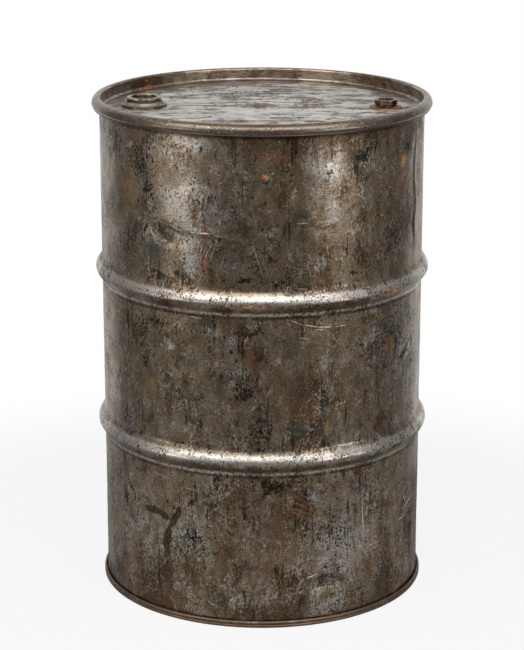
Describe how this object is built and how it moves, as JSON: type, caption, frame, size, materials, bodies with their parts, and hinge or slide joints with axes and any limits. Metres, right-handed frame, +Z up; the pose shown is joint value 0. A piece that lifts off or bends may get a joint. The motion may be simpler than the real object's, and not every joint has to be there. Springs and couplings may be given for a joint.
{
  "type": "steel drum",
  "caption": "Rusty dented tight-head steel drum with rolled chimes, pressed hoops and unscrewing bung plugs in octagonal bosses.",
  "frame": {"origin": "centre of the drum's foot, on the surface it stands on", "axes": "+Z up along the drum's axis, -Y out of the side that faces the camera in the picture, +X to the right in that view, where the small plug is; the large plug is at -X"},
  "size_m": [0.6006, 0.6006, 0.891],
  "materials": {
    "body_steel": "bare cold-rolled steel sheet, dark with age, worn and rust-stained",
    "head_steel": "bare steel sheet, paler than the body, scratched and streaked",
    "bottom_steel": "bare steel sheet, brown with rust",
    "flange_steel": "pressed steel, orange-brown with rust",
    "plug_steel": "pressed steel, bronze-brown and polished by wear on its edges",
    "gasket_rubber": "black rubber, dull and hardened"
  },
  "bodies": {
    "drum": {"body_shell": "body_steel", "top_head": "head_steel", "bottom_head": "bottom_steel", "large_flange": "flange_steel", "large_flange_gasket": "gasket_rubber", "small_flange": "flange_steel", "small_flange_gasket": "gasket_rubber"},
    "large_plug_lift": {"large_plug_gasket": "gasket_rubber"},
    "large_plug": {"large_plug": "plug_steel"},
    "small_plug_lift": {"small_plug_gasket": "gasket_rubber"},
    "small_plug": {"small_plug": "plug_steel"}
  },
  "joints": [
    {"name": "large_plug_rise", "type": "slide", "parent": "drum", "child": "large_plug_lift", "axis": [0, 0, 1], "range_m": [0, 0.01386]},
    {"name": "large_plug_turn", "type": "hinge", "parent": "large_plug_lift", "child": "large_plug", "pos_m": [-0.20885, 0.00802, 0.88], "axis": [0, 0, 1], "range_deg": [0, 2160]},
    {"name": "small_plug_rise", "type": "slide", "parent": "drum", "child": "small_plug_lift", "axis": [0, 0, 1], "range_m": [0, 0.00908]},
    {"name": "small_plug_turn", "type": "hinge", "parent": "small_plug_lift", "child": "small_plug", "pos_m": [0.21834, -0.00839, 0.88], "axis": [0, 0, 1], "range_deg": [0, 1800]}
  ],
  "couplings": [
    {"joint": "large_plug_rise", "follows": "large_plug_turn", "m_per_rad": 0.00036749},
    {"joint": "small_plug_rise", "follows": "small_plug_turn", "m_per_rad": 0.00028871}
  ]
}
